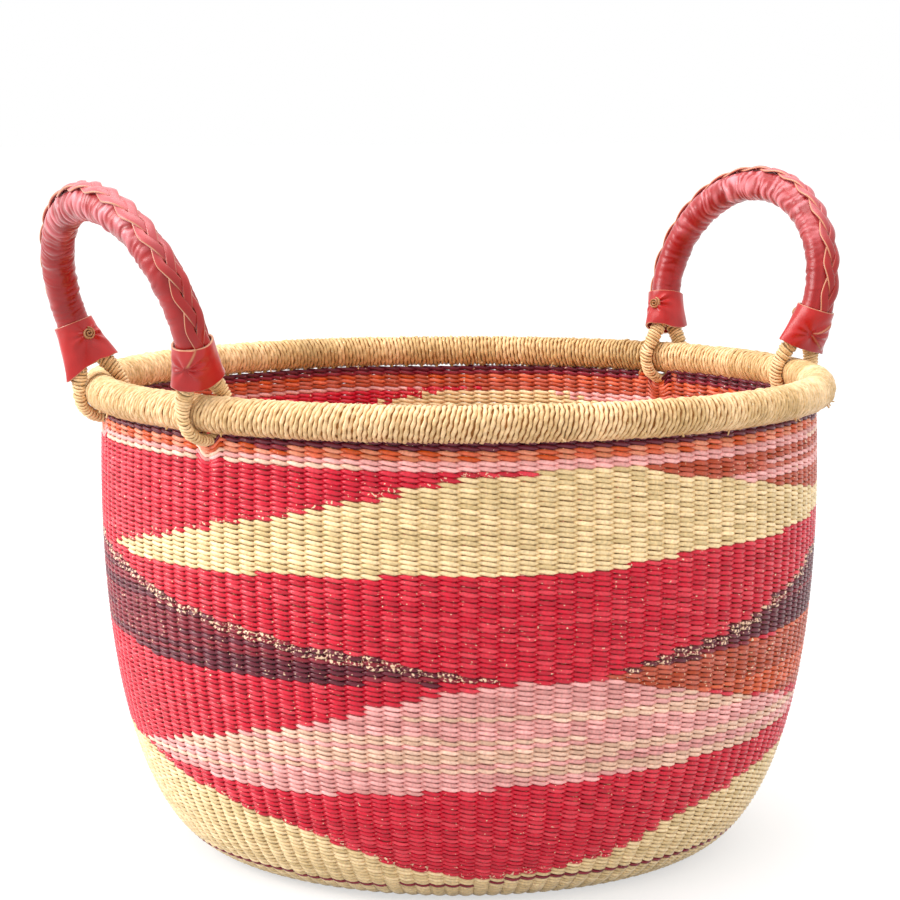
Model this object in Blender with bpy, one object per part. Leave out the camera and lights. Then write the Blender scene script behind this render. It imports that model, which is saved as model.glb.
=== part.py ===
"""A round bolga basket: a twined straw body, a bound rim roll and two swinging leather handles.

Metres, +Z up. The origin is on the floor under the middle of the basket, and the two handles
stand over -X (left) and +X (right). Each handle is built once in the frame of its own hinge,
whose line runs along Y through the middle of the rim roll, and both sides share its meshes.
"""

import math

import bmesh
import bpy
from mathutils import Vector

# Woven body
RIM_RADIUS = 0.195  # basket axis to the middle of the rim roll
RIM_HEIGHT = 0.249  # floor to the middle of the rim roll
FOOT_RADIUS = 0.130  # the flat underside
WEAVE_THICKNESS = 0.0055  # two twined strands over a stake
WALL_SET_IN = 0.0005  # outer face of the wall behind the middle of the roll
FOOT_SWEEP = 0.0405  # how far the foot runs out before the wall turns up
BELLY_SWEEP = 0.1518  # how far the upper wall runs down before it turns in
BELLY_BULGE = 0.0065  # how far that run swells past the top of the wall
TOP_ROUND = 0.0012  # rounding of the last woven row
FLOOR_RISE = 0.0015  # the started middle of the base, thicker than the rest
FLOOR_START_RADIUS = 0.018

# Stakes
STAKE_COUNT = 128
STAKE_WIDTH = 0.0026
STAKE_DEPTH = 0.0026
BARE_STAKE = 0.0012  # bare length between the weave and the roll

# Rim roll
ROLL_RADIUS = 0.0095
BINDING_THICKNESS = 0.0014

# Leather handle
FOOT_HALF_SPAN = 0.0612  # handle's middle to the middle of a foot, along the hinge
HANDLE_RISE = 0.107  # hinge to the top of the arch's centre line
HANDLE_BOW = 0.0098  # how far the arch swells past its feet
BOW_START = 0.005  # hinge to where the feet begin to splay
BOW_HEIGHT = 0.0455  # hinge to the widest place of the arch
LEFT_LEAN = math.radians(18)  # outwards from upright, at rest
RIGHT_LEAN = math.radians(12)
SLEEVE_RADIUS = 0.0088
SLEEVE_LEATHER = 0.0014

# Rim loops
LEG_RADIUS = 0.0046
LOOP_HALF_THICKNESS = 0.0031  # where the rope is pressed flat round the roll
LEG_OFFSET = 0.0050  # middle of a leg from the middle of the foot, inside the cuff
LEG_JOIN_HEIGHT = 0.022  # hinge to where the two legs run side by side
LEG_LEAVE_ANGLE = math.radians(15)  # above level, where a leg leaves the roll
LEG_LOW_CURVE = 0.010  # lengths of the handles of the leg's curve
LEG_HIGH_CURVE = 0.004

# Cuffs
CUFF_BOTTOM = 0.0168  # hinge to the lower edge, which clears the roll when the handle is folded in
CUFF_LENGTH = 0.0217
CUFF_LEATHER = 0.0011
CUFF_MOUTH_DEPTH = 0.0068  # inside, from the middle, across the fork
CUFF_MOUTH_EASE = 0.0005  # inside, past the legs, along the fork
CUFF_SHOULDER = 0.0045  # the flare ends this far below the end of the sleeve

# Plait
PLAIT_THIN = 0.0013
PLAIT_THICK = 0.0026
PLAIT_PITCH = 0.016  # one lozenge
PLAIT_HALF_ANGLE = math.radians(22)  # round the sleeve, from its spine
PLAIT_EDGE_ANGLE = math.radians(6)  # how far the cut edges stand out past the lozenges
PLAIT_CROSSING_SHARE = 0.25  # height of the middle, of what a lozenge is raised by

# Lace ends
LACE_SHANK_RADIUS = 0.0016
LACE_HEAD_RADIUS = 0.0031
LACE_HEAD_HEIGHT = 0.0019
LACE_HEAD_ROUND = 0.0008
LACE_FIRST_TURN = math.radians(110)  # round the foot on -Y, from outwards
LACE_SECOND_TURN = math.radians(200)  # round the foot on +Y

# Fits
SEAM_GAP = 0.0004  # between pieces that lie against each other
RUNNING_CLEARANCE = 0.0006  # round the rim loops, which turn on the roll
CUT_OVERRUN = 0.004  # a cutter past the face that it cuts

# Facets
SHARP_ANGLE = math.radians(40)  # sharper edges than this aren't shaded smooth
WALL_COLUMNS = STAKE_COUNT // 2
WALL_ROWS = 10
NOTCH_STEPS = 8
ROLL_STEPS = 56
BINDING_OUTER_STEPS = 10
BINDING_INNER_STEPS = 6
CORE_SIDES = 8
SLEEVE_SIDES = 12
SLEEVE_RINGS = 22
ROUTE_STEPS = 24  # of a quarter of the arch, before it is spaced evenly
LEG_SIDES = 8
LOOP_ROUND_STEPS = 12
LOOP_LEG_STEPS = 4
LEG_SWELL_SHARE = 0.5  # of the rope's swelling from flat to round, at each step up a leg
LEG_CHECK_STEPS = 24
LOOP_TOP_STEPS = 4
CUFF_SIDES = 16
CUFF_MOUTH_RINGS = 3
LACE_SIDES = 10
PLAIT_RINGS = 44

# Worked out from the sizes above
WALL_TOP_RADIUS = RIM_RADIUS - WALL_SET_IN
WALL_TOP = RIM_HEIGHT - ROLL_RADIUS - BARE_STAKE
STAKE_RADIUS = WALL_TOP_RADIUS - WEAVE_THICKNESS / 2
BINDING_BORE = ROLL_RADIUS - BINDING_THICKNESS
ROLL_CORE_RADIUS = BINDING_BORE * math.cos(math.pi / BINDING_INNER_STEPS) - SEAM_GAP
FOOT_ANGLE = math.asin(FOOT_HALF_SPAN / RIM_RADIUS)
HINGE_X = RIM_RADIUS * math.cos(FOOT_ANGLE)
LOOP_CORNER = math.hypot(LOOP_HALF_THICKNESS, LEG_RADIUS * math.tan(FOOT_ANGLE))
LOOP_RADIUS = ROLL_RADIUS / math.cos(FOOT_ANGLE) + LOOP_CORNER + RUNNING_CLEARANCE
STEEPEST_SPLAY = math.pi / 2 * HANDLE_BOW / (BOW_HEIGHT - BOW_START)
LOOP_TOP = LEG_JOIN_HEIGHT + LEG_OFFSET + LEG_RADIUS * math.hypot(1, 2 * STEEPEST_SPLAY)
SLEEVE_START = LOOP_TOP + SEAM_GAP
SLEEVE_BORE = SLEEVE_RADIUS - SLEEVE_LEATHER
HANDLE_CORE_RADIUS = SLEEVE_BORE * math.cos(math.pi / SLEEVE_SIDES) - SEAM_GAP
CUFF_TOP = CUFF_BOTTOM + CUFF_LENGTH
CUFF_FULL_HEIGHT = SLEEVE_START - CUFF_SHOULDER
LACE_HEIGHT = CUFF_FULL_HEIGHT + LACE_HEAD_RADIUS + SEAM_GAP
CUFF_TOP_BORE = (SLEEVE_RADIUS + SEAM_GAP) / math.cos(math.pi / CUFF_SIDES)
PLAIT_START = CUFF_TOP + SEAM_GAP
PLAIT_SEAT = SLEEVE_RADIUS + SEAM_GAP


def clear_scene():
    for obj in list(bpy.data.objects):
        bpy.data.objects.remove(obj, do_unlink=True)


def make_material(name, colour, roughness):
    material = bpy.data.materials.new(name)
    material.use_nodes = True
    shader = material.node_tree.nodes["Principled BSDF"]
    shader.inputs["Base Color"].default_value = (*colour, 1)
    shader.inputs["Roughness"].default_value = roughness
    shader.inputs["Metallic"].default_value = 0
    return material


def make_object(name, mesh, material, parent=None):
    if not mesh.materials:
        mesh.materials.append(material)
    obj = bpy.data.objects.new(name, mesh)
    obj.parent = parent
    bpy.context.scene.collection.objects.link(obj)
    return obj


def finish_mesh(bm, name):
    """Close a bmesh into a mesh with its faces pointing out, round parts shaded smooth."""
    bmesh.ops.recalc_face_normals(bm, faces=bm.faces)
    mesh = bpy.data.meshes.new(name)
    bm.to_mesh(mesh)
    bm.free()
    mesh.shade_smooth()
    mesh.set_sharp_from_angle(angle=SHARP_ANGLE)
    return mesh


def cut_with(obj, cutter):
    cutter.hide_render = True
    cutter.display_type = "WIRE"
    boolean = obj.modifiers.new("cut", "BOOLEAN")
    boolean.operation = "DIFFERENCE"
    boolean.object = cutter


def loft(name, rings, closed=False):
    """One body skinned over rings of points: a capped tube or, when closed, a ring or a shell."""
    bm = bmesh.new()
    loops = [[bm.verts.new(point) for point in ring] for ring in rings]
    pairs = list(zip(loops, loops[1:] + loops[:1]))
    for ring, following in pairs if closed else pairs[:-1]:
        for i in range(len(ring)):
            bm.faces.new((ring[i - 1], ring[i], following[i], following[i - 1]))
    if not closed:
        bm.faces.new(loops[0])
        bm.faces.new(reversed(loops[-1]))
    return finish_mesh(bm, name)


def lathe(name, outline, steps):
    """A closed outline of (radius, height) points turned once round Z."""
    bm = bmesh.new()
    points = [bm.verts.new((radius, 0, height)) for radius, height in outline]
    edges = [bm.edges.new((points[i - 1], points[i])) for i in range(len(points))]
    bmesh.ops.spin(
        bm,
        geom=points + edges,
        cent=(0, 0, 0),
        axis=(0, 0, 1),
        angle=math.tau,
        steps=steps,
        use_merge=True,
    )
    return finish_mesh(bm, name)


def bezier(first, first_handle, last_handle, last, steps):
    """Points and directions along one cubic curve, both ends included."""
    points = []
    for i in range(steps + 1):
        t = i / steps
        s = 1 - t
        point = first * s**3 + first_handle * (3 * s * s * t) + last_handle * (3 * s * t * t) + last * t**3
        along = (first_handle - first) * (s * s) + (last_handle - first_handle) * (2 * s * t)
        along += (last - last_handle) * (t * t)
        points.append((point, along.normalized()))
    return points


# The woven wall, with the bare ends of its stakes


def wall_faces():
    """Outer and inner face of the wall as (radius, height) points, from the foot up."""
    curve = bezier(
        Vector((FOOT_RADIUS, 0)),
        Vector((FOOT_RADIUS + FOOT_SWEEP, 0)),
        Vector((WALL_TOP_RADIUS + BELLY_BULGE, WALL_TOP - BELLY_SWEEP)),
        Vector((WALL_TOP_RADIUS, WALL_TOP - TOP_ROUND)),
        WALL_ROWS,
    )
    outer = [point for point, along in curve]
    inner = [point + WEAVE_THICKNESS * Vector((-along.y, along.x)) for point, along in curve]
    return outer, inner


def circle(bm, radius, height, angles):
    return [bm.verts.new((radius * math.cos(a), radius * math.sin(a), height)) for a in angles]


def stake_angles(radius):
    """The two edges of every stake, seen from the axis."""
    half = math.asin(STAKE_WIDTH / 2 / radius)
    middles = [(i + 0.5) * math.tau / STAKE_COUNT for i in range(STAKE_COUNT)]
    return [angle for middle in middles for angle in (middle - half, middle + half)]


def wall_mesh():
    bm = bmesh.new()
    outer, inner = wall_faces()
    columns = [i * math.tau / WALL_COLUMNS for i in range(WALL_COLUMNS)]
    outer_rings = [circle(bm, r, z, columns) for r, z in outer]
    inner_rings = [circle(bm, r, z, columns) for r, z in inner]
    crown_outer = circle(bm, STAKE_RADIUS + STAKE_DEPTH / 2, WALL_TOP, stake_angles(STAKE_RADIUS))
    crown_inner = circle(bm, STAKE_RADIUS - STAKE_DEPTH / 2, WALL_TOP, stake_angles(STAKE_RADIUS))

    # Both faces and the seam at the foot, one quad a column
    skins = [outer_rings, inner_rings, [outer_rings[0], inner_rings[0]]]
    for rings in skins:
        for lower, upper in zip(rings, rings[1:]):
            for i in range(WALL_COLUMNS):
                bm.faces.new((lower[i - 1], lower[i], upper[i], upper[i - 1]))

    # Two stakes stand on each column, so the last row turns over in one wide and one narrow face
    for top, crown in ((outer_rings[-1], crown_outer), (inner_rings[-1], crown_inner)):
        for i in range(WALL_COLUMNS):
            after = (i + 1) % WALL_COLUMNS
            four = crown[4 * i : 4 * i + 4]
            bm.faces.new((top[i], top[after], *reversed(four)))
            bm.faces.new((top[i], four[0], crown[4 * i - 1]))

    stakes = []
    for i in range(2 * STAKE_COUNT):
        after = (i + 1) % (2 * STAKE_COUNT)
        face = bm.faces.new((crown_outer[i], crown_outer[after], crown_inner[after], crown_inner[i]))
        if i % 2 == 0:
            stakes.append(face)
    bmesh.ops.recalc_face_normals(bm, faces=bm.faces)
    raised = bmesh.ops.extrude_discrete_faces(bm, faces=stakes)["faces"]
    stake_top = RIM_HEIGHT - ROLL_CORE_RADIUS - SEAM_GAP
    tops = {vert for face in raised for vert in face.verts}
    bmesh.ops.translate(bm, verts=list(tops), vec=(0, 0, stake_top - WALL_TOP))
    bmesh.ops.triangulate(bm, faces=bm.faces)
    return finish_mesh(bm, "woven_wall")


def notch_mesh(side):
    """A bar along X with a round underside: room for the rim loops under the roll, at both walls."""
    half_width = LEG_RADIUS + RUNNING_CLEARANCE
    depth = LOOP_HALF_THICKNESS + RUNNING_CLEARANCE
    middle = RIM_HEIGHT - LOOP_RADIUS
    outline = [(half_width, RIM_HEIGHT), (-half_width, RIM_HEIGHT)]
    for i in range(NOTCH_STEPS + 1):
        angle = math.pi + math.pi * i / NOTCH_STEPS
        outline.append((half_width * math.cos(angle), middle + depth * math.sin(angle)))
    reach = RIM_RADIUS + CUT_OVERRUN
    rings = [[(x, side * FOOT_HALF_SPAN + y, z) for y, z in outline] for x in (-reach, reach)]
    return loft("loop_notch", rings)


def make_woven_body(straw):
    wall = make_object("woven_wall", wall_mesh(), straw)
    for side in (-1, 1):
        cut_with(wall, make_object(f"loop_notch_{side}", notch_mesh(side), straw))

    # The base lies inside the wall's foot, and its started middle stands a little higher
    edge = FOOT_RADIUS * math.cos(math.pi / WALL_COLUMNS) - SEAM_GAP
    levels = (
        (edge, 0),
        (edge, WEAVE_THICKNESS),
        (FLOOR_START_RADIUS + 2 * FLOOR_RISE, WEAVE_THICKNESS),
        (FLOOR_START_RADIUS, WEAVE_THICKNESS + FLOOR_RISE),
    )
    columns = [i * math.tau / WALL_COLUMNS for i in range(WALL_COLUMNS)]
    rings = [[(r * math.cos(a), r * math.sin(a), z) for a in columns] for r, z in levels]
    make_object("woven_base", loft("woven_base", rings), straw)


# The rim roll: a straw core inside a binding that is open below, where the stakes go in


def roll_arc(radius, first, last, steps):
    """Points of the roll's section, by angle from straight down towards the outside."""
    angles = [first + (last - first) * i / steps for i in range(steps + 1)]
    return [(RIM_RADIUS + radius * math.sin(a), RIM_HEIGHT - radius * math.cos(a)) for a in angles]


def make_rim(straw, core_straw):
    slot_outer = STAKE_RADIUS + STAKE_DEPTH / 2 + SEAM_GAP - RIM_RADIUS
    slot_inner = STAKE_RADIUS - STAKE_DEPTH / 2 - SEAM_GAP - RIM_RADIUS
    outer_arc = roll_arc(
        ROLL_RADIUS,
        math.asin(slot_outer / ROLL_RADIUS),
        math.tau + math.asin(slot_inner / ROLL_RADIUS),
        BINDING_OUTER_STEPS,
    )
    inner_arc = roll_arc(
        BINDING_BORE,
        math.tau + math.asin(slot_inner / BINDING_BORE),
        math.asin(slot_outer / BINDING_BORE),
        BINDING_INNER_STEPS,
    )
    make_object("rim_binding", lathe("rim_binding", outer_arc + inner_arc, ROLL_STEPS), straw)

    core = roll_arc(ROLL_CORE_RADIUS, 0, math.tau, CORE_SIDES)[:-1]
    make_object("rim_core", lathe("rim_core", core, ROLL_STEPS), core_straw)


# The handles, each in its hinge's frame: X outwards, Y along the hinge, Z up the handle


def foot_reach(height):
    """Middle of the handle to the middle of a foot, which splays as it rises from the hinge."""
    share = min(1, max(0, (height - BOW_START) / (BOW_HEIGHT - BOW_START)))
    return FOOT_HALF_SPAN + HANDLE_BOW * (1 - math.cos(math.pi * share)) / 2


def arch_route(start, count):
    """Evenly spaced centres of the arch, from one foot at this height over to the other."""
    heights = [start + (BOW_HEIGHT - start) * i / ROUTE_STEPS for i in range(ROUTE_STEPS)]
    half = [(foot_reach(height), height) for height in heights]
    half_width = FOOT_HALF_SPAN + HANDLE_BOW
    rise = HANDLE_RISE - BOW_HEIGHT
    for i in range(ROUTE_STEPS + 1):
        angle = math.pi / 2 * i / ROUTE_STEPS
        half.append((half_width * math.cos(angle), BOW_HEIGHT + rise * math.sin(angle)))
    points = [Vector((0, -y, z)) for y, z in half]
    points += [Vector((0, y, z)) for y, z in reversed(half[:-1])]

    lengths = [0]
    for a, b in zip(points, points[1:]):
        lengths.append(lengths[-1] + (b - a).length)
    route = []
    for i in range(count):
        wanted = lengths[-1] * i / (count - 1)
        place = min(len(points) - 2, sum(1 for run in lengths[1:] if run < wanted))
        share = (wanted - lengths[place]) / (lengths[place + 1] - lengths[place])
        route.append(points[place].lerp(points[place + 1], share))
    return route, lengths[-1]


def with_frames(route, across, closed=False):
    """Each point of a flat route with its normal; across is square to the route's plane."""
    framed = []
    for i, point in enumerate(route):
        before = route[i - 1] if closed or i > 0 else point
        after = route[(i + 1) % len(route)] if closed or i < len(route) - 1 else point
        framed.append((point, across.cross(after - before).normalized()))
    return framed


def tube_rings(framed, across, radius, sides):
    turns = [(i + 0.5) * math.tau / sides for i in range(sides)]
    return [
        [point + radius * (math.cos(a) * normal + math.sin(a) * across) for a in turns]
        for point, normal in framed
    ]


OUTWARDS = Vector((1, 0, 0))
ALONG_HINGE = Vector((0, 1, 0))


def sleeve_mesh():
    framed = with_frames(arch_route(SLEEVE_START, SLEEVE_RINGS)[0], OUTWARDS)
    outer = tube_rings(framed, OUTWARDS, SLEEVE_RADIUS, SLEEVE_SIDES)
    inner = tube_rings(framed, OUTWARDS, SLEEVE_BORE, SLEEVE_SIDES)
    return loft("leather_sleeve", outer + inner[::-1], closed=True)


def handle_core_mesh():
    framed = with_frames(arch_route(SLEEVE_START, SLEEVE_RINGS)[0], OUTWARDS)
    return loft("handle_core", tube_rings(framed, OUTWARDS, HANDLE_CORE_RADIUS, CORE_SIDES))


def plait_mesh():
    """A flat plait over the spine: two rows of lozenges, each half a pitch behind the other."""
    route, length = arch_route(PLAIT_START, PLAIT_RINGS)
    facet_edge = math.pi / SLEEVE_SIDES
    seat = PLAIT_SEAT / math.cos(facet_edge)
    seat_turns = (PLAIT_HALF_ANGLE, facet_edge, -facet_edge, -PLAIT_HALF_ANGLE)
    lozenges = max(1, round(length / PLAIT_PITCH))
    top = PLAIT_SEAT + PLAIT_THIN
    lift = PLAIT_THICK - PLAIT_THIN
    rings = []
    for i, (point, normal) in enumerate(with_frames(route, OUTWARDS)):
        phase = math.pi * lozenges * i / (PLAIT_RINGS - 1)
        left = abs(math.sin(phase))
        right = abs(math.cos(phase))
        section = [
            (-PLAIT_HALF_ANGLE * (1 + left) / 2 - PLAIT_EDGE_ANGLE, top),
            (-PLAIT_HALF_ANGLE / 2, top + lift * left),
            (0, top + lift * PLAIT_CROSSING_SHARE),
            (PLAIT_HALF_ANGLE / 2, top + lift * right),
            (PLAIT_HALF_ANGLE * (1 + right) / 2 + PLAIT_EDGE_ANGLE, top),
        ]
        section += [(turn, seat) for turn in seat_turns]
        rings.append([point + r * (math.cos(a) * normal - math.sin(a) * OUTWARDS) for a, r in section])
    return loft("plait", rings)


def leg_curve(steps):
    """One leg as points and directions, from where it leaves the roll to where it is upright."""
    leave = Vector((math.cos(LEG_LEAVE_ANGLE), 0, math.sin(LEG_LEAVE_ANGLE)))
    upwards = Vector((-leave.z, 0, leave.x))
    start = leave * LOOP_RADIUS
    end = Vector((LEG_OFFSET, 0, LEG_JOIN_HEIGHT))
    return bezier(start, start + upwards * LEG_LOW_CURVE, end - Vector((0, 0, LEG_HIGH_CURVE)), end, steps)


def loop_route():
    """The closed route of one rim loop, each point with the rope's half thickness there."""
    sweep = math.pi + 2 * LEG_LEAVE_ANGLE
    arc = []
    for i in range(LOOP_ROUND_STEPS):
        angle = LEG_LEAVE_ANGLE - sweep * i / LOOP_ROUND_STEPS
        place = Vector((LOOP_RADIUS * math.cos(angle), 0, LOOP_RADIUS * math.sin(angle)))
        arc.append((place, LOOP_HALF_THICKNESS))
    leg = []
    for i, (point, along) in enumerate(leg_curve(LOOP_LEG_STEPS)):
        swell = (LEG_RADIUS - LOOP_HALF_THICKNESS) * min(1, LEG_SWELL_SHARE * i)
        leg.append((point, LOOP_HALF_THICKNESS + swell))
    mirrored = [(Vector((-point.x, 0, point.z)), half) for point, half in leg]
    over = []
    for i in range(1, LOOP_TOP_STEPS):
        angle = math.pi - math.pi * i / LOOP_TOP_STEPS
        place = Vector((LEG_OFFSET * math.cos(angle), 0, LEG_JOIN_HEIGHT + LEG_OFFSET * math.sin(angle)))
        over.append((place, LEG_RADIUS))
    return arc + mirrored + over + leg[:0:-1]


def loop_mesh(side):
    route = loop_route()
    middles = [Vector((point.x, side * foot_reach(point.z), point.z)) for point, half in route]
    turns = [(i + 0.5) * math.tau / LEG_SIDES for i in range(LEG_SIDES)]
    rings = []
    for (point, normal), (flat_point, half) in zip(with_frames(middles, ALONG_HINGE, closed=True), route):
        ring = []
        for a in turns:
            ring.append(point + half * math.cos(a) * normal + LEG_RADIUS * math.sin(a) * ALONG_HINGE)
        rings.append(ring)
    return loft("rim_loop", rings, closed=True)


def cuff_mouth_width():
    """Half width of the mouth along the fork, so that the straight flare clears both legs."""
    widest = 0
    for point, along in leg_curve(LEG_CHECK_STEPS):
        reach = point.x + LEG_RADIUS * along.z + CUFF_MOUTH_EASE
        height = point.z - LEG_RADIUS * along.x
        share = (height - CUFF_BOTTOM) / (CUFF_FULL_HEIGHT - CUFF_BOTTOM)
        if 0 <= share < 1:
            widest = max(widest, (reach - CUFF_TOP_BORE * share) / (1 - share))
    return widest / math.cos(math.pi / CUFF_SIDES)


def cuff_bore(height):
    """Half widths of the cuff's bore at this height: along the fork, and across it."""
    share = min(1, (height - CUFF_BOTTOM) / (CUFF_FULL_HEIGHT - CUFF_BOTTOM))
    mouth = cuff_mouth_width()
    along = mouth + (CUFF_TOP_BORE - mouth) * share
    across = CUFF_MOUTH_DEPTH + (CUFF_TOP_BORE - CUFF_MOUTH_DEPTH) * share
    return along, across


def cuff_mesh(side):
    flare = CUFF_FULL_HEIGHT - CUFF_BOTTOM
    heights = [CUFF_BOTTOM + flare * i / CUFF_MOUTH_RINGS for i in range(CUFF_MOUTH_RINGS)]
    heights += [CUFF_FULL_HEIGHT, (CUFF_FULL_HEIGHT + CUFF_TOP) / 2, CUFF_TOP]
    framed = with_frames([Vector((0, side * foot_reach(h), h)) for h in heights], OUTWARDS)
    outer, inner = [], []
    for height, (centre, normal) in zip(heights, framed):
        along, across = cuff_bore(height)
        for rings, wall in ((outer, CUFF_LEATHER), (inner, 0)):
            ring = []
            for i in range(CUFF_SIDES):
                a = math.tau * (i + 0.5) / CUFF_SIDES
                step = (along + wall) * math.cos(a) * OUTWARDS + (across + wall) * math.sin(a) * normal
                ring.append(centre + step)
            rings.append(ring)
    return loft("cuff", outer + inner[::-1], closed=True)


def lace_frame(side, turn):
    """Where a lace goes through its cuff: the foot's middle, its run, the way out and the wall."""
    step = CUFF_LEATHER
    splay = foot_reach(LACE_HEIGHT + step) - foot_reach(LACE_HEIGHT - step)
    run = Vector((0, side * splay, 2 * step)).normalized()
    centre = Vector((0, side * foot_reach(LACE_HEIGHT), LACE_HEIGHT))
    way_out = math.cos(turn) * OUTWARDS + math.sin(turn) * run.cross(OUTWARDS)
    along, across = cuff_bore(LACE_HEIGHT)
    bore = 1 / math.hypot(math.cos(turn) / along, math.sin(turn) / across)
    return centre, run, way_out, bore


def turned_lace(name, levels, frame):
    """A turned piece: (distance from the foot's middle, radius) levels on the way out."""
    centre, run, way_out, bore = frame
    return loft(
        name,
        [
            tube_rings([(centre + reach * way_out, run)], way_out.cross(run), radius, LACE_SIDES)[0]
            for reach, radius in levels
        ],
    )


def lace_mesh(side, turn):
    frame = lace_frame(side, turn)
    bore = frame[-1]
    head = bore + CUFF_LEATHER + SEAM_GAP
    levels = (
        (bore, LACE_SHANK_RADIUS),
        (head, LACE_SHANK_RADIUS),
        (head, LACE_HEAD_RADIUS),
        (head + LACE_HEAD_HEIGHT - LACE_HEAD_ROUND, LACE_HEAD_RADIUS),
        (head + LACE_HEAD_HEIGHT, LACE_HEAD_RADIUS - LACE_HEAD_ROUND),
    )
    return turned_lace("lace_end", levels, frame)


def lace_hole_mesh(side, turn):
    frame = lace_frame(side, turn)
    bore = frame[-1]
    radius = LACE_SHANK_RADIUS + SEAM_GAP
    levels = ((bore - CUT_OVERRUN, radius), (bore + CUFF_LEATHER + CUT_OVERRUN, radius))
    return turned_lace("lace_hole", levels, frame)


def make_handles(leather, cuff_leather, straw, core_straw, lace_leather):
    sleeve = sleeve_mesh()
    core = handle_core_mesh()
    plait = plait_mesh()
    feet = []
    for side, turn in ((-1, LACE_FIRST_TURN), (1, LACE_SECOND_TURN)):
        meshes = (loop_mesh(side), cuff_mesh(side), lace_mesh(side, turn), lace_hole_mesh(side, turn))
        feet.append((side, meshes))

    for hand, way, lean in (("left", -1, LEFT_LEAN), ("right", 1, RIGHT_LEAN)):
        hinge = bpy.data.objects.new(f"{hand}_handle_hinge", None)
        bpy.context.scene.collection.objects.link(hinge)
        hinge.location = (way * HINGE_X, 0, RIM_HEIGHT)
        hinge.rotation_euler = (0, lean, 0 if way > 0 else math.pi)
        make_object(f"{hand}_handle_core", core, core_straw, hinge)
        make_object(f"{hand}_leather_sleeve", sleeve, leather, hinge)
        make_object(f"{hand}_plait", plait, cuff_leather, hinge)
        for side, (loop, cuff, lace, hole) in feet:
            place = "front" if side * way < 0 else "back"
            make_object(f"{hand}_{place}_rim_loop", loop, straw, hinge)
            cuff_object = make_object(f"{hand}_{place}_cuff", cuff, cuff_leather, hinge)
            cut_with(cuff_object, make_object(f"{hand}_{place}_lace_hole", hole, leather, hinge))
            make_object(f"{hand}_{place}_lace_end", lace, lace_leather, hinge)


def main():
    clear_scene()
    woven_straw = make_material("woven_straw", (0.60, 0.05, 0.07), 0.65)
    rim_straw = make_material("rim_straw", (0.76, 0.52, 0.24), 0.6)
    core_straw = make_material("core_straw", (0.62, 0.45, 0.22), 0.8)
    leather = make_material("red_leather", (0.50, 0.05, 0.05), 0.38)
    cuff_leather = make_material("cuff_leather", (0.45, 0.04, 0.04), 0.42)
    lace_leather = make_material("raw_leather", (0.60, 0.33, 0.16), 0.7)
    make_woven_body(woven_straw)
    make_rim(rim_straw, core_straw)
    make_handles(leather, cuff_leather, rim_straw, core_straw, lace_leather)


main()
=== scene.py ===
"""A round twined straw basket with a bound rim roll and two leather-covered handles.

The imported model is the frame: every piece below stands for a CAD node and rides on its body.
Metres, +Z up, with the left handle over -X and the right one over +X.
"""

import math

import bmesh
import bpy
import numpy as np
from mathutils import Euler, Matrix, Vector, noise


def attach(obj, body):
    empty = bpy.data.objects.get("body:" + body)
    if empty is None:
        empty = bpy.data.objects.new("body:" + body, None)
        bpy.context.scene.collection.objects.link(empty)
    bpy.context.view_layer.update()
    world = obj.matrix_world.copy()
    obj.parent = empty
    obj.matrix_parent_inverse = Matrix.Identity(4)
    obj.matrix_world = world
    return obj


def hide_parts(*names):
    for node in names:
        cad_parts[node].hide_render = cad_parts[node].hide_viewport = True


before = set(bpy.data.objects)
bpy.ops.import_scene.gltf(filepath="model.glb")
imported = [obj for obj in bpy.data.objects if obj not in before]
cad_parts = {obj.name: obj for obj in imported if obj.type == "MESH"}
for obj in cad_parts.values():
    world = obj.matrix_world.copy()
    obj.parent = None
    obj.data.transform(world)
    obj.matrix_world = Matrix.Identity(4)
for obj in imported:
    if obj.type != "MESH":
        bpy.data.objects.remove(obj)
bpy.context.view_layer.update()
bpy.ops.object.select_all(action="DESELECT")


# Stakes
# The upright ribs of the basket: stiff bundles of grass stem that the strands are twined
# round. They run out from the middle of the base, up the wall and into the rim roll.

RIM_RADIUS = 0.195
RIM_HEIGHT = 0.249
ROLL_RADIUS = 0.0095
WALL_THICKNESS = 0.0055
WALL_CURVE = ((0.130, 0), (0.1705, 0), (0.201, 0.0865), (0.1945, 0.2371))  # outer face
WALL_TOP = 0.2383
BASE_PLACES = 60  # on the flat of the base, in the table of the wall's shape
# Where the handles' loops cross the rim: right back, left back, left front, right front
LOOP_ANGLES = [math.radians(a) for a in (18.3, 161.7, -161.7, -18.3)]
SEAM_ANGLE = LOOP_ANGLES[0]  # the twining starts and ends behind a back loop
STAKE_COUNT = 128  # at the rim
STAKE_RADIUS = 0.00105
STAKE_SIDES = 6
STAKE_TIP = 0.009
UP = np.array([0, 0, 1])


def bezier(corners, count):
    """Points along the cubic curve that four corners give."""
    t = np.linspace(0, 1, count)[:, None]
    a, b, c, d = np.array(corners, float)
    return a * (1 - t) ** 3 + b * 3 * (1 - t) ** 2 * t + c * 3 * (1 - t) * t**2 + d * t**3


def unit_length(ways):
    """The same directions, each of length 1."""
    return ways / np.linalg.norm(ways, axis=1)[:, None]


def length_at(points):
    """How far along the line through these points each of them is."""
    return np.concatenate([[0], np.cumsum(np.linalg.norm(np.diff(points, axis=0), axis=1))])


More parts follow.
